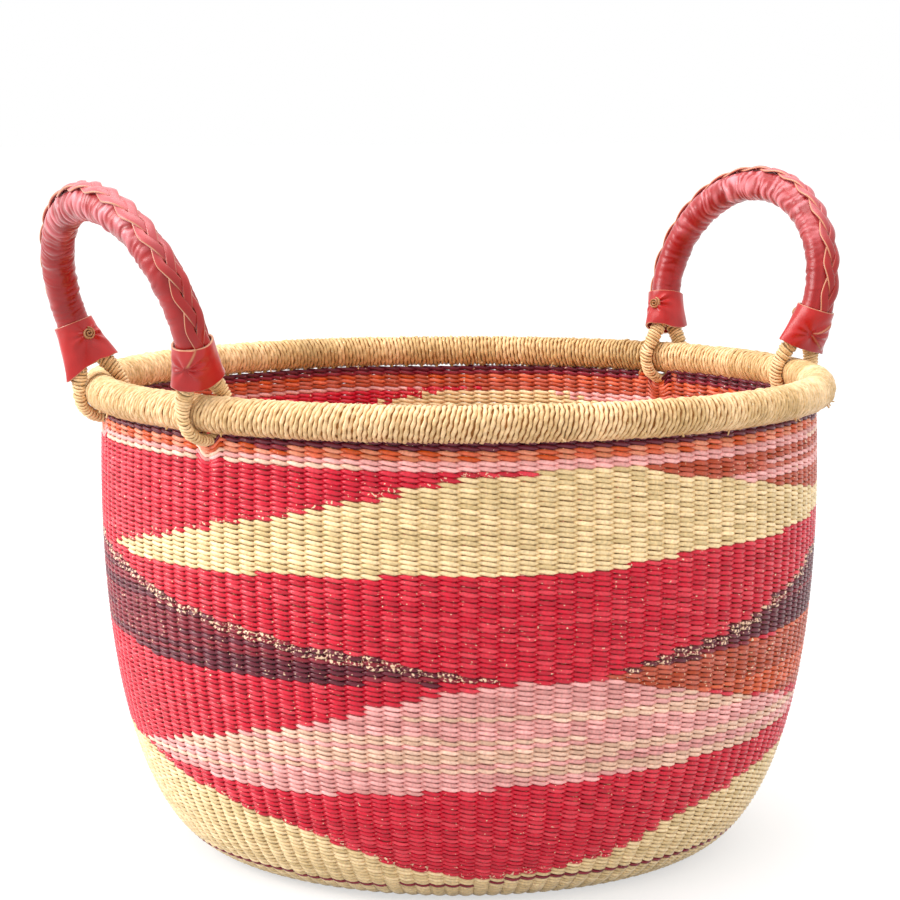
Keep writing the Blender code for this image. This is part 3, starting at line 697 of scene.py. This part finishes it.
loop_luck = np.random.default_rng(8)
for hand in HANDLES:
    for place in ("front", "back"):
        side = foot_side(hand, place)
        turns = round(loop_route(10, side)[-1] / WIND_PITCH)
        route, across, out, thickness, _ = loop_route(turns * WIND_STEPS, side)
        ahead = np.cross(across, out)
        angle = np.arange(len(route)) * math.tau / WIND_STEPS
        wobble = 0.00018 * wandering(loop_luck, len(route), 5) - WIND_HALF_DEPTH
        lateral = (LEG_RADIUS + wobble) * np.cos(angle)
        radial = (thickness + wobble) * np.sin(angle)
        slip = WIND_STRAY * wandering(loop_luck, len(route), 5) + WIND_SLANT * np.cos(angle)
        centres = route + lateral[:, None] * across + radial[:, None] * out + slip[:, None] * ahead
        outwards = (thickness * np.cos(angle))[:, None] * across
        outwards += (LEG_RADIUS * np.sin(angle))[:, None] * out
        outwards = unit_length(outwards)
        wound = tube(centres, -ahead, outwards, WIND_HALF_WIDTH, WIND_HALF_DEPTH, WIND_SIDES, closed=True)
        middles, across, out, thickness, _ = loop_route(90, side)
        rope = tube(middles, across, out, LEG_RADIUS - ROPE_INSET, thickness - ROPE_INSET, 10, closed=True)
        points, faces = joined([wound, rope])
        tone = np.repeat(loop_luck.uniform(0.84, 1.1, turns), WIND_STEPS * WIND_SIDES)
        tone = np.concatenate([tone, np.full(len(rope[0]), 0.35)])
        values = {"tone": tone, "fleck": tone * 0}
        piece = make_piece(f"{hand}_{place}_wound_loop", placed(points, hand), faces, values, rim_straw)
        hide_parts(f"{hand}_{place}_rim_loop")
        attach(piece, f"{hand}_handle")


# Leather sleeves
# A tube of dyed goat leather, sewn wet over a bundle of straw. It dries in fine wrinkles
# across the bend, and its seam is a groove beside the plait.

HANDLE_RISE = 0.107
SLEEVE_RADIUS = 0.0088
SLEEVE_START = 0.0332
SLEEVE_RINGS = 560
SLEEVE_SIDES = 44
SLEEVE_WRINKLES = {"left": (10, 0.0013), "right": (40, 0.0009)}  # which pattern, and how deep
GROOVE_TURN = 0.86  # radians round the sleeve from the outside of the bend
GROOVE_HALF_WIDTH = 0.07
GROOVE_DEPTH = 0.0007
HIGHLIGHT_START = 0.062  # height over the hinge where the painted pale pink highlight begins


def arch(start, count):
    """Evenly spaced places along the arch from one foot to the other, with the way out of the bend."""
    heights = np.linspace(start, BOW_HEIGHT, 80)[:-1]
    turn = np.linspace(0, math.pi / 2, 160)
    side = np.concatenate([foot_reach(heights), (FOOT_HALF_SPAN + HANDLE_BOW) * np.cos(turn)])
    rise = np.concatenate([heights, BOW_HEIGHT + (HANDLE_RISE - BOW_HEIGHT) * np.sin(turn)])
    side = np.concatenate([-side, side[-2::-1]])
    rise = np.concatenate([rise, rise[-2::-1]])
    length = length_at(np.stack([side, rise], axis=1))
    at = np.linspace(0, length[-1], count)
    route = np.stack([np.zeros(count), np.interp(at, length, side), np.interp(at, length, rise)], axis=1)
    away = np.cross(unit_length(np.gradient(route, axis=0)), (-1, 0, 0))
    return route, away, at


def round_handle(turn, away):
    """The way out of a handle at these turns round it, from the outside of the bend."""
    return np.cos(turn)[..., None] * away - np.sin(turn)[..., None] * np.array([1, 0, 0])


def leather_material(name, colour, roughness):
    """Dyed leather: patchy dye, a pale pink highlight painted along the grip, pores in the bump, raw tan
    where it was cut.
    """
    material = bpy.data.materials.new(name)
    material.use_nodes = True
    tree = material.node_tree
    place = add_node(tree, "TexCoord", "Object")

    patches = add_node(tree, "TexNoise", "Fac", {"Vector": place, "Scale": 60, "Detail": 5})
    dyed = add_node(tree, "ValToRGB", "Color", {"Fac": patches})
    deep, plain = dyed.node.color_ramp.elements
    deep.position = 0.3
    deep.color = (*[c * 0.72 for c in colour], 1)
    plain.position = 0.68
    plain.color = (*colour, 1)

    height = add_node(tree, "SeparateXYZ", "Z", {"Vector": place})
    # A pale pink highlight is painted into the colour, growing towards the top of the arch and strongest on
    # the wrinkle ridges.
    highlight_height_range = {"From Min": RIM_HEIGHT + HIGHLIGHT_START, "From Max": RIM_HEIGHT + HANDLE_RISE, "To Max": 0.95}
    highlight_height_inputs = {"Value": height, **highlight_height_range}
    highlight_by_height = add_node(tree, "MapRange", "Result", highlight_height_inputs, interpolation_type="SMOOTHSTEP")
    highlight_on_ridges = add_node(tree, "Attribute", "Fac", attribute_name="painted_highlight")
    highlight_share = add_node(tree, "Math", "Value", {0: highlight_by_height, 1: highlight_on_ridges}, operation="MULTIPLY")
    highlight_colours = {"Factor": highlight_share, "A": dyed, "B": (*linear(240, 146, 154), 1)}
    painted_highlight = add_node(tree, "Mix", "Result", highlight_colours, data_type="RGBA")
    raw = add_node(tree, "Attribute", "Fac", attribute_name="raw")
    cut_colours = {"Factor": raw, "A": painted_highlight, "B": (*linear(214, 158, 118), 1)}

    pores = add_node(tree, "TexVoronoi", "Distance", {"Vector": place, "Scale": 1400})
    gloss_inputs = {"Value": patches, "To Min": roughness - 0.08, "To Max": roughness + 0.1}
    feed(tree.nodes["Principled BSDF"], {
        "Base Color": add_node(tree, "Mix", "Result", cut_colours, data_type="RGBA"),
        "Normal": add_node(tree, "Bump", "Normal", {"Height": pores, "Strength": 0.18, "Distance": 0.0002}),
        "Roughness": add_node(tree, "MapRange", "Result", gloss_inputs),
        "Specular IOR Level": 0.38,
        "Sheen Weight": 0.32,
        "Sheen Roughness": 0.3,
        "Coat Weight": 0.2,
        "Coat Roughness": 0.25,
    })
    return material


sleeve_leather = leather_material("sleeve_leather", linear(164, 14, 13), 0.36)


def wrinkle(along, around, seed):
    """How high the leather stands here: more than 0 on a ridge, and less in a crease."""
    x = math.cos(around)
    y = math.sin(around)
    bent = noise.noise(Vector((along * 90, x, y + seed)))
    fine = noise.noise(Vector((along * 430 + bent * 1.5, x * 0.8, y * 0.8 + seed)))
    broad = noise.noise(Vector((along * 190 + bent, x, y - seed)))
    return fine + 0.6 * broad


for hand in HANDLES:
    route, away, at = arch(SLEEVE_START, SLEEVE_RINGS)
    seed, depth = SLEEVE_WRINKLES[hand]
    turns = np.arange(SLEEVE_SIDES) * math.tau / SLEEVE_SIDES
    radius, painted_highlight = [], []
    for place in at:
        bend = math.sin(math.pi * place / at[-1]) ** 0.5
        lumps = 0.00035 * noise.noise(Vector((place * 34, seed, 0)))
        for turn in turns:
            inner = 0.7 - 0.3 * math.cos(turn)
            ridge = wrinkle(place, turn, seed)
            groove = GROOVE_DEPTH * math.exp(-((signed(turn - GROOVE_TURN) / GROOVE_HALF_WIDTH) ** 2))
            radius.append(SLEEVE_RADIUS - 0.0002 + depth * bend * inner * ridge + lumps - groove)
            # Painted highlight: paler on the ridges of the wrinkles
            painted_highlight.append(min(1, max(0.05, 0.3 + 1.1 * ridge)))
    radius = np.reshape(radius, (SLEEVE_RINGS, SLEEVE_SIDES, 1))
    points = (route[:, None, :] + radius * round_handle(turns, away[:, None, :])).reshape(-1, 3)
    faces = ring_faces(SLEEVE_RINGS, SLEEVE_SIDES)
    values = {"raw": np.zeros(len(points)), "painted_highlight": painted_highlight}
    piece = make_piece(f"{hand}_sleeve", placed(points, hand), faces, values, sleeve_leather)
    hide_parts(f"{hand}_leather_sleeve", f"{hand}_handle_core")
    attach(piece, f"{hand}_handle")


# Plaits
# Three leather thongs plaited flat and laid along the outer bend of the sleeve, with both ends
# tucked under the cuffs. The cut edges of the thongs stay tan.

CUFF_TOP = 0.0385
PLAIT_START = 0.0345
PLAIT_RINGS = 620
PLAIT_SWING = 0.0034  # middle of a thong from the middle of the plait, at its edges
PLAIT_SWING_LIMIT = 0.95  # below 1, a thong turns back in a bend and not in a corner
PLAIT_PITCH = 0.047  # one full turn of a thong from edge to edge and back
PLAIT_SEAT = 0.0010  # middle of the plait over the sleeve
PLAIT_LIFT = 0.0008  # of a thong that crosses over, and sinking of one that crosses under
PLAIT_TUCK = 0.007  # length over which it sinks towards the edge of a cuff
# How much of the painted pale pink highlight the plait gets at the grip
PLAIT_HIGHLIGHT = 0.36
THONG_HALF_WIDTH = 0.0022
THONG_HALF_THICKNESS = 0.0005
# Corners of a thong's section, in half widths across it and half thicknesses out
THONG_SECTION = ((-1, -1), (1, -1), (1, 0.8), (0.8, 1.3), (0, 1.9), (-0.8, 1.3), (-1, 0.8))
plait_leather = leather_material("plait_leather", linear(168, 20, 16), 0.36)

for hand in HANDLES:
    route, away, at = arch(PLAIT_START, PLAIT_RINGS)
    crossings = round(at[-1] / PLAIT_PITCH)
    from_cuff = np.minimum(at, at[-1] - at) - (CUFF_TOP - PLAIT_START)
    seated = np.clip(0.4 + 0.6 * from_cuff / PLAIT_TUCK, 0.1, 1)
    thongs, raws = [], []
    for number in range(3):
        phase = math.tau * (crossings * at / at[-1] + number / 3)
        swing = np.arcsin(PLAIT_SWING_LIMIT * np.sin(phase)) / math.asin(PLAIT_SWING_LIMIT)
        lift = HANDLES[hand][0] * PLAIT_LIFT * np.sin(2 * phase)
        out = round_handle(PLAIT_SWING * swing / SLEEVE_RADIUS, away)
        centres = route + out * (SLEEVE_RADIUS + (PLAIT_SEAT + lift) * seated)[:, None]
        across = unit_length(np.cross(out, unit_length(np.gradient(centres, axis=0))))
        rings = [
            centres + a * THONG_HALF_WIDTH * across + b * THONG_HALF_THICKNESS * out
            for a, b in THONG_SECTION
        ]
        points = np.stack(rings, axis=1).reshape(-1, 3)
        thongs.append((points, ring_faces(PLAIT_RINGS, len(THONG_SECTION))))
        outermost = across[:, 0] * swing
        first_cut = np.clip(0.55 + 1.2 * outermost, 0.05, 1)
        second_cut = np.clip(0.55 - 1.2 * outermost, 0.05, 1)
        dyed = np.zeros(PLAIT_RINGS)
        raw = [0.2 * first_cut, 0.2 * second_cut, second_cut, dyed, dyed, dyed, first_cut]
        raws.append(np.stack(raw, axis=1).ravel())
    points, faces = joined(thongs)
    values = {"raw": np.concatenate(raws), "painted_highlight": np.full(len(points), PLAIT_HIGHLIGHT)}
    piece = make_piece(f"{hand}_thong_plait", placed(points, hand), faces, values, plait_leather)
    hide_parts(f"{hand}_plait")
    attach(piece, f"{hand}_handle")


# Cuffs
# A strip of leather wrapped once round each foot, over the end of the plait. It flares below
# over the two legs of the loop, and a thong pulled through it gathers it into folds.

CUFF_LEATHER = 0.0011
CUFF_FLARE_HEIGHT = 0.0150  # where its mouth has the half sizes below
CUFF_TOP_HALF_WIDTH = 0.0093
CUFF_MOUTH_HALF_WIDTH = 0.0148  # over the two legs
CUFF_MOUTH_HALF_DEPTH = 0.0070
CUFF_OVERLAP = math.radians(35)
CUFF_COLUMNS = 200
CUFF_ROWS = 60
CUFF_START = {"left": math.radians(220), "right": math.radians(40)}  # where the wrap begins
FOLD_RISE = 0.0015
FOLD_REACH = 0.0060  # from the gather
DIMPLE_DEPTH = 0.0012
DIMPLE_REACH = 0.0016
CUT_SOFTNESS = 0.0003
FLAP_RISE = 0.0012
LIP_RISE = 0.0015
LIP_WIDTH = 0.0030  # back from its cut
# Heights of the lower edge: at its middle, then more over the outer leg and over the inner one.
# The gather is an angle round the foot from outwards and a height. A flap lies beside it between
# two cuts, as their directions and its length. With one cut it is only a lip along that.
CUFFS = {
    ("left", "front"): dict(low=(0.0162, 0.0034, 0.0022), gather=(40, 0.0296), flap=(60, None, 0.0105)),
    ("left", "back"): dict(low=(0.0156, -0.0040, 0.0004), gather=(98, 0.0292), flap=None),
    ("right", "front"): dict(low=(0.0160, -0.0012, 0.0012), gather=(-106, 0.0262), flap=(-42, 38, 0.0125)),
    ("right", "back"): dict(low=(0.0165, 0.0045, 0.0016), gather=(199, 0.0300), flap=None),
}
cuff_leather = leather_material("cuff_leather", linear(184, 22, 19), 0.34)


def eased(value, start, end):
    """0 before start and 1 after end, smoothly between."""
    share = min(1, max(0, (value - start) / (end - start)))
    return share * share * (3 - 2 * share)


def cuff_radius(angle, height, side):
    """Inner half widths of a cuff here: over its two legs, and square to them."""
    flare = (max(0, CUFF_TOP - height) / (CUFF_TOP - CUFF_FLARE_HEIGHT)) ** 1.3
    over_legs = between((CUFF_TOP_HALF_WIDTH, CUFF_MOUTH_HALF_WIDTH), flare)
    square = between((CUFF_TOP_HALF_WIDTH, CUFF_MOUTH_HALF_DEPTH), flare)
    from_plait = signed(angle - side * math.pi / 2)
    over_plait = 0.0015 * math.exp(-((from_plait / 0.5) ** 2)) * eased(height, 0.0290, 0.0370)
    return over_legs + over_plait, square + over_plait


def gathered(along, up, flap):
    """Rise of the leather near the thong that gathers it, and how much of its cut edge shows."""
    reach = math.hypot(along, up)
    way = math.atan2(up, along)
    folds = math.cos(7 * way + 1.9 * math.sin(2 * way)) * (0.35 + 0.65 * max(0, math.cos(way + 0.3)))
    rise = FOLD_RISE * folds * (reach / 0.004) * math.exp(-((reach / FOLD_REACH) ** 2))
    rise -= DIMPLE_DEPTH * math.exp(-((reach / DIMPLE_REACH) ** 2))
    if flap is None:
        return rise, 0
    first, last, length = flap
    past_first = signed(way - math.radians(first)) * reach
    inside = eased(past_first, -CUT_SOFTNESS, CUT_SOFTNESS)
    near = eased(reach, 0.0005, 0.0012) * (1 - eased(reach, length - 0.003, length + 0.002))
    if last is None:
        lip = inside * near * math.exp(-((max(0, past_first) / LIP_WIDTH) ** 2))
        return rise + LIP_RISE * lip, near * math.exp(-((past_first / 0.0005) ** 2))
    past_last = signed(way - math.radians(last)) * reach
    inside *= 1 - eased(past_last, -CUT_SOFTNESS, CUT_SOFTNESS)
    return rise + FLAP_RISE * inside * near, 3.6 * inside * (1 - inside) * near


def cuff_place(height, side):
    """Middle of a foot at this height, and the way square to it in the plane of the arch."""
    slope = (foot_reach(height + 0.001) - foot_reach(height - 0.001)) / 0.002
    return Vector((0, side * foot_reach(height), height)), Vector((0, 1, -side * slope)).normalized()


for (hand, place), cuff in CUFFS.items():
    side = foot_side(hand, place)
    seed = 5 * len(hand) + len(place)
    gather_turn, gather_height = math.radians(cuff["gather"][0]), cuff["gather"][1]
    middle_low, outer_rise, inner_rise = cuff["low"]
    inner, outer, cut = [], [], []
    for turn in np.linspace(0, math.tau + CUFF_OVERLAP, CUFF_COLUMNS):
        angle = turn + CUFF_START[hand]
        x, y = math.cos(angle), math.sin(angle)
        low = middle_low + (outer_rise if x > 0 else inner_rise) * abs(x) ** 1.6
        low += 0.0004 * noise.noise(Vector((x * 3, y * 3, seed)))
        lift = CUFF_LEATHER * 1.15 * eased(turn, math.tau - 0.5, math.tau)
        along = signed(angle - gather_turn) * CUFF_TOP_HALF_WIDTH * 1.1
        for height in np.linspace(low, CUFF_TOP, CUFF_ROWS):
            over_legs, square = cuff_radius(angle, height, side)
            soft = 0.0004 * noise.noise(Vector((x * 2, y * 2, height * 120 + seed)))
            rise, raw = gathered(along, height - gather_height, cuff["flap"])
            centre, normal = cuff_place(height, side)
            for sheet, out in ((inner, lift + soft), (outer, lift + soft + CUFF_LEATHER + rise)):
                sheet.append(centre + Vector(((over_legs + out) * x, 0, 0)) + normal * (square + out) * y)
            cut.append(raw)

    grid = np.arange(len(cut)).reshape(CUFF_COLUMNS, CUFF_ROWS)
    sheet = np.stack([grid[:-1, :-1], grid[1:, :-1], grid[1:, 1:], grid[:-1, 1:]], axis=2).reshape(-1, 4)
    edge = np.concatenate([grid[:, 0], grid[-1, 1:], grid[-2::-1, -1], grid[0, -2:0:-1]])
    following = np.roll(edge, -1)
    rim = np.stack([edge, edge + len(cut), following + len(cut), following], axis=1)
    faces = [np.concatenate([sheet[:, ::-1], sheet + len(cut), rim[:, ::-1]])]
    raw = np.concatenate([np.zeros(len(cut)), cut])
    raw[edge] = 1
    raw[edge + len(cut)] = 0.8
    points = placed(np.array(inner + outer), hand)
    values = {"raw": raw, "painted_highlight": raw * 0}
    piece = make_piece(f"{hand}_{place}_wrapped_cuff", points, faces, values, cuff_leather)
    mesh = bmesh.new()
    mesh.from_mesh(piece.data)
    bmesh.ops.recalc_face_normals(mesh, faces=mesh.faces)
    mesh.to_mesh(piece.data)
    mesh.free()
    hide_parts(f"{hand}_{place}_cuff")
    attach(piece, f"{hand}_handle")


# Lace ends
# The thong that gathers a cuff, undyed and rolled up tight at its end, so that it can't slip
# back through its slit. Two are seen from the photographed side and two lie out of sight.

LACE_TURNS = 2.2
LACE_RADIUS = (0.0004, 0.0034)  # of the roll, inside and outside
LACE_HALF_WIDTH = 0.0015
LACE_HALF_THICKNESS = 0.0005
LACES = {  # angle round the foot from outwards, and height
    ("left", "front"): (200, 0.0318),
    ("left", "back"): (98, 0.0292),
    ("right", "front"): (110, 0.0318),
    ("right", "back"): (199, 0.0300),
}
lace_leather = leather_material("lace_leather", linear(188, 132, 84), 0.55)

for (hand, place), (degrees, height) in LACES.items():
    side = foot_side(hand, place)
    angle = math.radians(degrees)
    over_legs, square = cuff_radius(angle, height, side)
    centre, normal = cuff_place(height, side)
    outwards = Vector((1, 0, 0))
    seat = centre + outwards * math.cos(angle) * over_legs + normal * math.sin(angle) * square
    out = (outwards * math.cos(angle) * square + normal * math.sin(angle) * over_legs).normalized()
    seat += out * (CUFF_LEATHER + 0.0002)
    up = outwards.cross(normal)
    up = (up - out * up.dot(out)).normalized()
    along = up.cross(out)
    turn = np.linspace(0, LACE_TURNS * math.tau, 90)
    share = turn / turn[-1]
    spoke = np.cos(turn)[:, None] * np.array(along) + np.sin(turn)[:, None] * np.array(up)
    rise = 0.0002 * np.sin(3.1 * turn) - 0.0005 * share**2
    centres = np.array(seat) + spoke * between(LACE_RADIUS, share)[:, None] + rise[:, None] * np.array(out)
    flat = np.broadcast_to(np.array(out), centres.shape)
    points, faces = tube(centres, -spoke, flat, LACE_HALF_THICKNESS, LACE_HALF_WIDTH, 8)
    values = {"raw": np.zeros(len(points)), "painted_highlight": np.zeros(len(points))}
    piece = make_piece(f"{hand}_{place}_rolled_lace", placed(points, hand), faces, values, lace_leather)
    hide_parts(f"{hand}_{place}_lace_end")
    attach(piece, f"{hand}_handle")


# Studio
# A pale floor that keeps the basket's shadow, two large soft lamps, one on the left and one
# overhead, and the camera at the photograph's side and height.


def strength_where_seen(tree, lit_strength):
    """A strength of 1 to the camera, in reflections and through glass, and this one elsewhere."""
    camera_ray = add_node(tree, "LightPath", "Is Camera Ray")
    rays = camera_ray.node.outputs
    seen = add_node(tree, "Math", "Value", {0: camera_ray, 1: rays["Is Glossy Ray"]}, operation="MAXIMUM")
    seen = add_node(tree, "Math", "Value", {0: seen, 1: rays["Is Transmission Ray"]}, operation="MAXIMUM")
    return add_node(tree, "MapRange", "Result", {"Value": seen, "To Min": lit_strength, "To Max": 1})


world = bpy.data.worlds.new("studio")
bpy.context.scene.world = world
world.use_nodes = True
world_strength = strength_where_seen(world.node_tree, 1.24)
feed(world.node_tree.nodes["Background"], {"Color": (1, 1, 1, 1), "Strength": world_strength})

bpy.ops.mesh.primitive_plane_add(size=60, location=(0, 0, -0.0002))
floor = bpy.context.object
floor.name = "floor"
floor_white = bpy.data.materials.new("floor_white")
floor_white.use_nodes = True
tree = floor_white.node_tree
tree.nodes.remove(tree.nodes["Principled BSDF"])
paper = add_node(tree, "BsdfDiffuse", "BSDF", {"Color": (0.45, 0.45, 0.45, 1)})
glow_inputs = {"Color": (0.60, 0.60, 0.60, 1), "Strength": strength_where_seen(tree, 0)}
glow = add_node(tree, "Emission", "Emission", glow_inputs)
feed(tree.nodes["Material Output"], {"Surface": add_node(tree, "AddShader", "Shader", {0: paper, 1: glow})})
floor.data.materials.append(floor_white)


def add_lamp(name, place, aim, size, power):
    """A square soft lamp at this place, turned towards its aim."""
    lamp = bpy.data.lights.new(name, "AREA")
    lamp.shape = "SQUARE"
    lamp.size = size
    lamp.energy = power
    obj = bpy.data.objects.new(name, lamp)
    obj.location = place
    obj.rotation_euler = (Vector(aim) - Vector(place)).to_track_quat("-Z", "Y").to_euler()
    bpy.context.scene.collection.objects.link(obj)


add_lamp("left_softbox", (-1.5, 0.75, 1.0), (0, 0, 0.15), 0.85, 25)
add_lamp("top_softbox", (-0.2, 0.2, 1.9), (0, 0, 0.1), 1.4, 20)

camera = bpy.data.objects.new("camera", bpy.data.cameras.new("camera"))
bpy.context.scene.collection.objects.link(camera)
camera.location = (-0.7517, -1.1890, 0.3931)
camera.rotation_euler = (math.radians(82.65), 0, math.radians(-32.3))
camera.data.lens = 103.2
camera.data.sensor_width = 36
camera.data.shift_x = -0.0102
bpy.context.scene.camera = camera
bpy.context.scene.view_settings.view_transform = "Standard"
